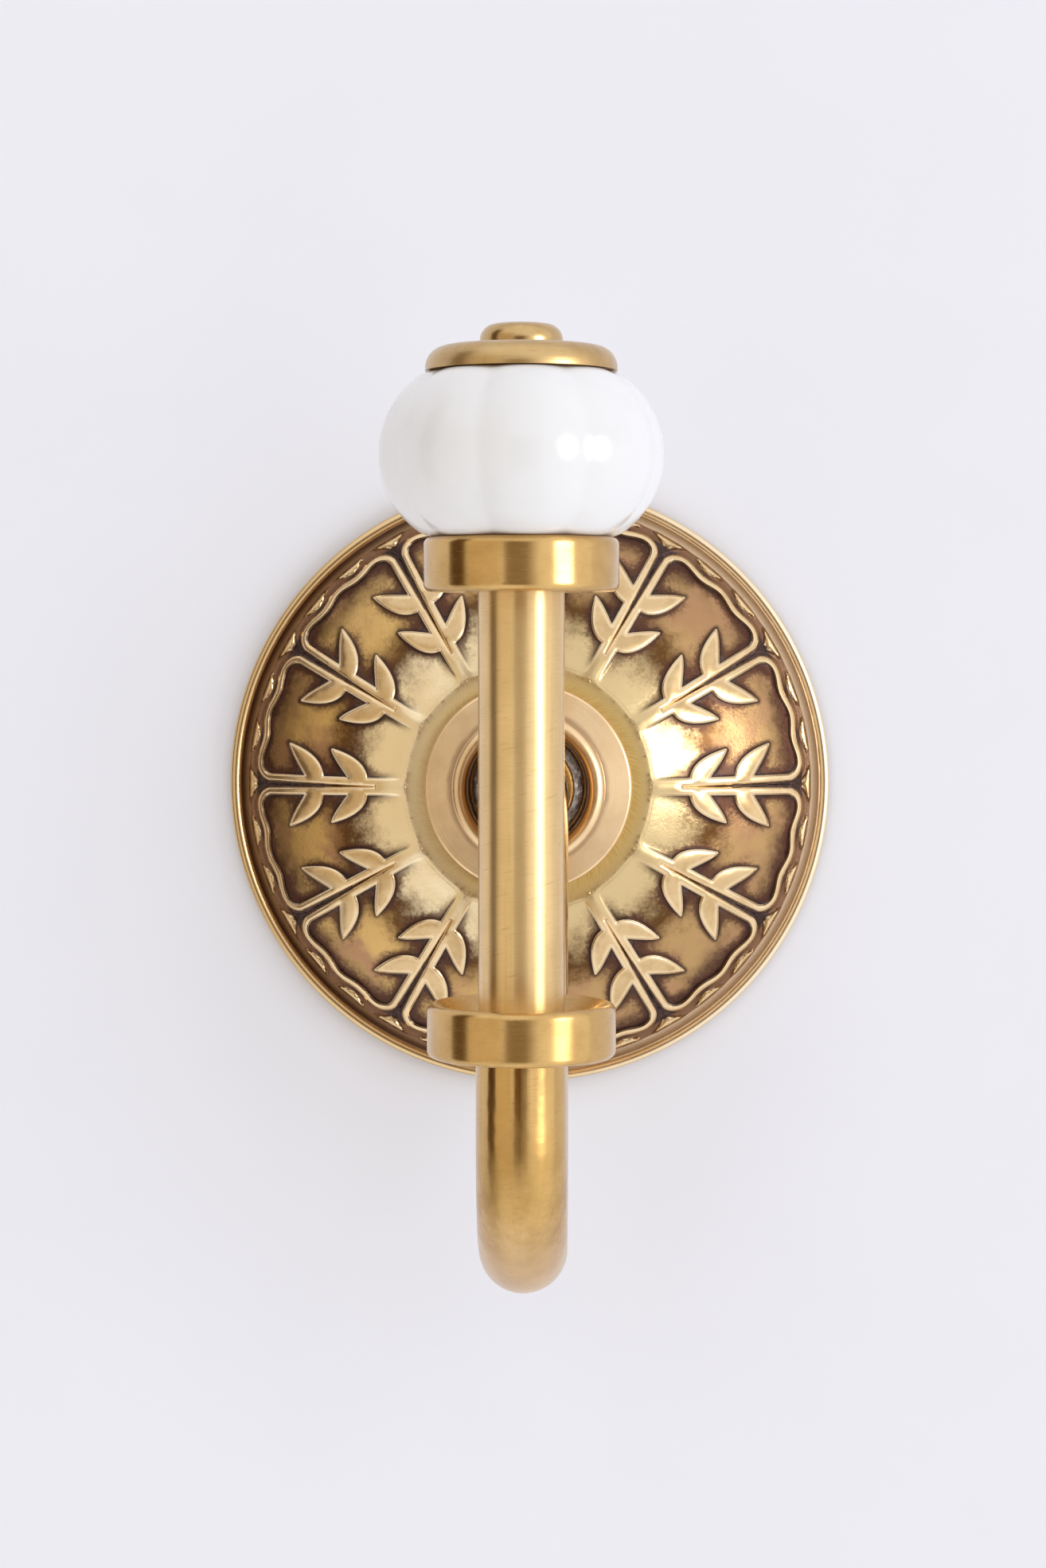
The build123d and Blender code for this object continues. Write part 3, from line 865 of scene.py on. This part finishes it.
def turned_brass(name, colour, shaded, along_wall, roughness, spread=0.0, lines=0.5):
    """Satin brass with fine rings round its axis, on the wall's axis or on the post's."""
    ring_depth = 0.012
    material = bpy.data.materials.new(name)
    finish = Finish(material)
    x, y, z = finish.place()
    if along_wall:
        radius = (x * x + z * z) ** 0.5
        length = y
        angle = finish.turn(z, x)
    else:
        forward = y + post_reach
        radius = (x * x + forward * forward) ** 0.5
        length = z
        angle = finish.turn(x, 0 - forward)
    rings = finish.speckle(finish.vector(radius * 4, length * 4, angle * 0.8), 1.0, 2.0, 0.6)
    scratches = finish.speckle(finish.vector(radius * 1.2, length * 7, angle * 4), 1.0, 2.0, 0.6)
    cloud = finish.speckle(finish.vector(x, y, z), 0.3, 4.0, 0.6)
    marks = finish.rise(scratches, 0.58, 0.72)
    tone = finish.blend(finish.rise(cloud, 0.35, 0.75) * 0.55, colour, shaded)
    tone = finish.blend(marks * 0.3, tone, shaded)
    finish.surface(
        base_color=tone,
        metallic=1.0,
        roughness=roughness + (rings - 0.5) * 0.06 + (cloud - 0.5) * 0.06 + marks * 0.05,
        normal=finish.bump(rings * lines + marks * 0.15, ring_depth),
        anisotropic=spread,
        anisotropic_rotation=0.25,
        coat_weight=0.5,
        coat_roughness=0.16,
    )
    return material


for node in ("backing_washer", "retaining_nut"):
    dress(node, turned_brass(node + "_brass", plain_gold, plain_shade, along_wall=True, roughness=0.36))

# Hook arm: a round brass bar bent out of the socket, down, and up again in a J. It is brushed
# along its length and handled smooth, with a brown bloom left in places.


def brushed_brass(name, colour, shaded, scratch_depth, waviness, handled_below, roughness, spread):
    """Satin brass rubbed crosswise in use, duller and browner where hands have held it."""
    rosy_end = (0.74, 0.51, 0.29)
    material = bpy.data.materials.new(name)
    finish = Finish(material)
    x, y, z = finish.place()
    forward = y + post_reach
    angle = finish.turn(x, 0 - forward)
    drawn = finish.speckle(finish.vector(angle * 6, z * 0.04, 3.0), 1.0, 3.0, 0.6)
    across = finish.speckle(finish.vector(angle * 1.5, z * 16, 1.0), 1.0, 1.0, 0.5)
    slanted = finish.vector(angle * 1.4 + z * 0.3, z * 4.0 - angle * 5.0, 7.0)
    slant = finish.speckle(slanted, 1.0, 2.0, 0.6)
    cloud = finish.speckle(finish.vector(x, y, z), 0.11, 3.0, 0.6)
    worn = finish.speckle(finish.vector(x, y, z), 0.3, 4.0, 0.6)
    marks = finish.rise(slant, 0.6, 0.72)
    handled = 1 - finish.rise(z + (cloud - 0.5) * 14, handled_below - 8, handled_below + 6)
    tone = finish.blend(finish.rise(cloud, 0.4, 0.75) * 0.35, colour, shaded)
    tone = finish.blend(handled * finish.rise(worn, 0.25, 0.75) * 0.7, tone, shaded)
    tone = finish.blend(marks * 0.4 + finish.rise(drawn, 0.45, 0.75) * 0.3, tone, shaded)
    tone = finish.blend(finish.rise(across, 0.5, 0.75) * 0.22, tone, shaded)
    rubbed_end = 1 - finish.rise(z + (worn - 0.5) * 5, handled_below - 15, handled_below - 7)
    tone = finish.blend(rubbed_end * 0.5, tone, rosy_end)
    finish.surface(
        base_color=tone,
        metallic=1.0,
        roughness=roughness + handled * 0.22 + (worn - 0.5) * handled * 0.1 + marks * 0.04,
        normal=finish.bump((across + marks * 0.15) * scratch_depth + cloud * waviness, 1.0),
        anisotropic=spread,
        anisotropic_rotation=0.25,
        coat_weight=0.6,
        coat_roughness=0.18,
    )
    return material


bar_gold = (0.66, 0.41, 0.135)
bar_shade = (0.40, 0.21, 0.035)
bar_brass = brushed_brass(
    "bar_brass",
    bar_gold,
    bar_shade,
    scratch_depth=0.002,
    waviness=0.2,
    handled_below=-36.0,
    roughness=0.18,
    spread=0.4,
)
dress("hook_arm", bar_brass)

# Solder ring: the bead of soft solder that joins the arm's root to the floor of the socket,
# left rough and grey as it set.
solder_inner = 5.75
solder_outer = 6.95
solder_floor = 12.25
solder_top = 15.6
solder_columns = 220
solder_rows = 14
solder_lump = 0.4
solder_slope = 0.45
lump_share = 0.7
coarse_lumps = 1.1
fine_lumps = 2.9
fine_share = 0.6


def solder_mesh():
    """Closed ring with a lumpy sloping face."""
    shape = bmesh.new()
    turns = turns_round(solder_columns)
    rings = []
    for row in range(solder_rows):
        share = row / (solder_rows - 1)
        bulge = math.sin(math.pi * share)
        radius = solder_outer + (solder_inner - solder_outer) * share
        height = solder_floor + (solder_top - solder_floor) * share ** solder_slope
        ring = []
        for turn in turns:
            spot = Vector((radius * math.cos(turn), radius * math.sin(turn), height))
            lumps = noise.noise(spot * coarse_lumps) + fine_share * noise.noise(spot * fine_lumps)
            lump = lump_share * bulge * solder_lump * lumps
            ring.append(shape.verts.new(off_wall(radius + lump, turn, height + lump)))
        rings.append(ring)
    rings.append([shape.verts.new(off_wall(solder_inner, turn, solder_floor)) for turn in turns])
    for lower, upper in zip(rings, rings[1:] + rings[:1]):
        bridge(shape, lower, upper)
    bmesh.ops.recalc_face_normals(shape, faces=shape.faces)
    return as_mesh(shape, "solder_ring")


def grey_solder():
    """Dull tin and lead, pitted, with brown flux in the low places."""
    tin = (0.97, 0.96, 0.95)
    flux = (0.55, 0.49, 0.43)
    pit_depth = 0.3
    material = bpy.data.materials.new("solder")
    finish = Finish(material)
    spot = finish.vector(*finish.place())
    pits = finish.speckle(spot, 1.6, 4.0, 0.65)
    fine = finish.speckle(spot, 5.0, 3.0, 0.6)
    finish.surface(
        base_color=finish.blend(finish.rise(pits, 0.62, 0.38), tin, flux),
        metallic=0.4,
        roughness=0.2 + fine * 0.2,
        normal=finish.bump(pits + fine * 0.4, pit_depth),
    )
    return material


solder = show("solder_ring", solder_mesh(), crease_degrees=60)
solder.data.materials.append(grey_solder())
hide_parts("solder_fillet")
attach(solder, "root")

# Lower collar: a disc turned from brass bar and cupped on top. It sits on the arm's tip and
# takes the foot of the tube in its cup.
collar_gold = (0.66, 0.41, 0.14)
collar_shade = (0.46, 0.26, 0.07)
collar_spread = 0.85
lower_collar_brass = turned_brass(
    "lower_collar_brass",
    collar_gold,
    collar_shade,
    along_wall=False,
    roughness=0.27,
    spread=collar_spread,
    lines=0.1,
)
dress("lower_collar", lower_collar_brass)

# Post tube: drawn brass tube between the two collars, brushed along its length and marked by
# use with fine scratches across.
tube_gold = (0.86, 0.60, 0.27)
tube_shade = (0.56, 0.36, 0.12)
tube_brass = brushed_brass(
    "tube_brass",
    tube_gold,
    tube_shade,
    scratch_depth=0.006,
    waviness=0.02,
    handled_below=-90.0,
    roughness=0.38,
    spread=0.88,
)
dress("post_tube", tube_brass)

# Upper collar: the disc that the knob stands on, turned from brass bar and counterbored below
# for the tube.
upper_collar_brass = turned_brass(
    "upper_collar_brass",
    collar_gold,
    collar_shade,
    along_wall=False,
    roughness=0.25,
    spread=collar_spread,
    lines=0.15,
)
dress("upper_collar", upper_collar_brass)

# Knob: a melon of eight lobes in white glazed ceramic, bored for the rod. The glaze softens
# the valleys between the lobes and the edges of the two ends.
knob_low, knob_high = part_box("ceramic_knob")
knob_height = (knob_high.z - knob_low.z) / mm
knob_middle = (knob_high.z + knob_low.z) / 2 / mm
knob_radius = 15.45
knob_end_radius = 10.2
knob_bore = 3.2
knob_lobes = 8
knob_turn = 6.0
lobe_columns = 40
knob_rows = 72
end_round = 0.7
bore_round = 0.4
valley_share = 0.12


def lobe_radius(turn, height):
    """Radius of the knob at an angle from the middle of a lobe and a height from the waist."""
    end_square = knob_end_radius ** 2 + (knob_height / 2) ** 2
    offset = (knob_radius ** 2 - end_square) / (2 * (knob_radius - knob_end_radius))
    half_lobe = math.pi / knob_lobes
    share = abs(turn) / half_lobe
    past = max(0, share - (1 - valley_share))
    eased = (share - past * past / (2 * valley_share)) * half_lobe
    ball = knob_radius - offset
    aside = offset * math.sin(eased)
    reach = offset * math.cos(eased) + math.sqrt(ball ** 2 - height ** 2 - aside ** 2)
    into_end = max(0, abs(height) - (knob_height / 2 - end_round)) / end_round
    return reach - end_round * (1 - math.sqrt(max(0, 1 - into_end ** 2)))


def knob_mesh():
    """Closed lobed barrel with a bore."""
    half = knob_height / 2
    heights = [half * math.sin(math.pi / 2 * (2 * row / knob_rows - 1)) for row in range(knob_rows + 1)]
    shape = bmesh.new()
    columns = []
    for column, turn in enumerate(turns_round(knob_lobes * lobe_columns)):
        in_lobe = (column % lobe_columns) / lobe_columns * 2 * math.pi / knob_lobes
        in_lobe = min(in_lobe, 2 * math.pi / knob_lobes - in_lobe)
        profile = [(knob_bore, -half + bore_round), (knob_bore + bore_round, -half)]
        profile += [(lobe_radius(in_lobe, height), height) for height in heights]
        profile += [(knob_bore + bore_round, half), (knob_bore, half - bore_round)]
        front = turn + math.radians(knob_turn - 90)
        points = []
        for radius, height in profile:
            x = radius * math.cos(front)
            y = radius * math.sin(front) - post_reach
            points.append(shape.verts.new((x * mm, y * mm, (height + knob_middle) * mm)))
        columns.append(points)
    for column, following in zip(columns, columns[1:] + columns[:1]):
        bridge(shape, column, following)
    bmesh.ops.recalc_face_normals(shape, faces=shape.faces)
    return as_mesh(shape, "melon_knob")


def white_glaze():
    """Glossy white glaze over a pale body, a little greyer where it runs thin."""
    glaze = (0.89, 0.885, 0.885)
    thin_glaze = (0.78, 0.775, 0.77)
    ripple_depth = 0.03
    material = bpy.data.materials.new("white_glaze")
    finish = Finish(material)
    spot = finish.vector(*finish.place())
    cloud = finish.speckle(spot, 0.12, 3.0, 0.5)
    ripple = finish.speckle(spot, 0.3, 2.0, 0.5)
    finish.surface(
        base_color=finish.blend(finish.rise(cloud, 0.45, 0.8) * 0.5, glaze, thin_glaze),
        roughness=0.13 + ripple * 0.06,
        ior=1.5,
        normal=finish.bump(ripple, ripple_depth),
    )
    return material


knob = show("melon_knob", knob_mesh(), crease_degrees=40)
knob.data.materials.append(white_glaze())
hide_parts("ceramic_knob")
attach(knob, "root")

# Top cap: a disc turned from brass bar with a round shoulder. It closes the top of the knob and
# is bored for the rod.
cap_gold = (0.60, 0.40, 0.17)
cap_shade = (0.42, 0.24, 0.07)
dress("top_cap", turned_brass("cap_brass", cap_gold, cap_shade, along_wall=False, roughness=0.34))

# Finial nut: the small round button turned from brass bar. It screws onto the rod's end and
# pulls the whole post together.
dress("finial_nut", turned_brass("finial_brass", cap_gold, cap_shade, along_wall=False, roughness=0.24))

# Tie rod: a plain brass rod, threaded at its ends and hidden inside the post. It goes from the
# arm's tip through the collars, tube, knob and cap up into the finial.
dress("tie_rod", turned_brass("rod_brass", plain_gold, plain_shade, along_wall=False, roughness=0.36))

# Wall: the pale plastered wall that the hook is fixed to, open behind the rosette and seen
# through from behind.
wall_opening = 36.8
wall_near = 100.0
wall_reach = 1600.0
wall_gap = 0.2
wall_segments = 96


def wall_mesh():
    """Round sheet of wall with a hole that the rosette covers."""
    shape = bmesh.new()
    rings = []
    for radius in (wall_opening, wall_near, wall_reach):
        places = [off_wall(radius, turn, -wall_gap) for turn in turns_round(wall_segments)]
        rings.append([shape.verts.new(place) for place in places])
    for inner_ring, outer_ring in zip(rings, rings[1:]):
        bridge(shape, outer_ring, inner_ring)
    return as_mesh(shape, "wall")


def pale_plaster():
    """Smooth painted plaster, clear when seen from behind."""
    paint = (0.91, 0.92, 0.98)
    thin_paint = (0.89, 0.90, 0.96)
    material = bpy.data.materials.new("pale_plaster")
    finish = Finish(material)
    spot = finish.vector(*finish.place())
    roll = finish.speckle(spot, 0.05, 2.0, 0.5)
    colour = finish.blend(finish.rise(roll, 0.35, 0.7) * 0.4, paint, thin_paint)
    front = finish.node("ShaderNodeBsdfDiffuse", sockets={"Color": colour})
    clear = finish.node("ShaderNodeBsdfTransparent")
    behind = finish.node("ShaderNodeNewGeometry", output="Backfacing")
    both = finish.node("ShaderNodeMixShader", sockets={0: behind, 1: front, 2: clear})
    finish.node("ShaderNodeOutputMaterial", sockets={"Surface": both})
    return material


wall = show("wall", wall_mesh(), crease_degrees=30)
wall.data.materials.append(pale_plaster())

# Light: a pale room round the hook, dim behind the viewer and with a dark door frame far to
# the left, soft daylight from the right and the bright window that the brass mirrors.
room_white = (1.13, 1.15, 1.20)
warm_side = (0.81, 0.71, 0.56)
dim_room = (0.16, 0.08, 0.018)
dark_frame = (0.10, 0.048, 0.008)
backdrop = (0.9, 0.9, 0.94)
window_angle = 49.0
window_height = 5.0
window_distance = 0.9
window_width = 0.36
window_tall = 0.36
window_power = 2.6
daylight_angle = 62.0
daylight_size = 0.6
daylight_power = 0.5


def room_light():
    """Sky of the scene: the room by its direction, in degrees to the right and by height."""
    dim_sides = ((-23.0, -15.0), (4.0, 26.0))
    dim_heights = ((-0.75, -0.2), (0.13, 0.36))
    frame_sides = ((-108.0, -101.0), (-72.0, -65.0))
    frame_heights = ((-0.8, -0.25), (0.6, 0.9))
    warm_sides = ((-85.0, -60.0), (-30.0, -15.0))
    warm_heights = ((-0.7, -0.3), (0.3, 0.7))
    world = bpy.data.worlds.new("pale_room")
    bpy.context.scene.world = world
    sky = Finish(world)
    x = sky.node("ShaderNodeSeparateXYZ", sockets={0: sky.node("ShaderNodeTexCoord")})
    side = sky.turn(x, 0 - x.other("Y")) * math.degrees(1)
    lift = x.other("Z")

    def between(value, edges):
        """1 between two soft edges, and 0 outside them."""
        return sky.rise(value, *edges[0]) * (1 - sky.rise(value, *edges[1]))

    colour = sky.blend(between(side, warm_sides) * between(lift, warm_heights), room_white, warm_side)
    colour = sky.blend(between(side, dim_sides) * between(lift, dim_heights), colour, dim_room)
    colour = sky.blend(between(side, frame_sides) * between(lift, frame_heights), colour, dark_frame)
    seen = sky.node("ShaderNodeLightPath", output="Is Camera Ray")
    colour = sky.blend(seen, colour, backdrop)
    light = sky.node("ShaderNodeBackground", sockets={"Color": colour, "Strength": 1.0})
    sky.node("ShaderNodeOutputWorld", sockets={"Surface": light})


def side_lamp(name, angle, height, width, tall, power):
    """Flat lamp to the right of the hook, aimed at it."""
    lamp = bpy.data.lights.new(name, "AREA")
    lamp.shape = "ELLIPSE"
    lamp.size = width
    lamp.size_y = tall
    lamp.energy = power
    piece = bpy.data.objects.new(name, lamp)
    side = math.radians(angle)
    lift = math.radians(height)
    away = Vector((math.sin(side) * math.cos(lift), -math.cos(side) * math.cos(lift), math.sin(lift)))
    piece.location = away * window_distance
    piece.rotation_euler = away.to_track_quat("Z", "Y").to_euler()
    bpy.context.scene.collection.objects.link(piece)
    return piece


room_light()
window = side_lamp("window", window_angle, window_height, window_width, window_tall, window_power)
window.visible_diffuse = False
daylight = side_lamp("daylight", daylight_angle, 0.0, daylight_size, daylight_size, daylight_power)
daylight.visible_glossy = False

# Camera: straight in front of the hook and a little above its middle, near enough for the post
# to stand out from the plate.
image_height = 1970
focal_pixels = 3942
sensor_width = 36.0
camera_distance = 0.4
camera_side = math.radians(0.89)
camera_lift = math.radians(2.66)
aim_point = Vector((-0.00087, 0.0, -0.0002))
camera = bpy.data.objects.new("camera", bpy.data.cameras.new("camera"))
camera.data.sensor_width = sensor_width
camera.data.lens = sensor_width * focal_pixels / image_height
camera.location = camera_distance * Vector((
    math.sin(camera_side) * math.cos(camera_lift),
    -math.cos(camera_side) * math.cos(camera_lift),
    math.sin(camera_lift),
))
camera.rotation_euler = (camera.location - aim_point).to_track_quat("Z", "Y").to_euler()
camera.data.clip_start = 0.01
bpy.context.scene.collection.objects.link(camera)
bpy.context.scene.camera = camera
bpy.context.scene.view_settings.view_transform = "Standard"
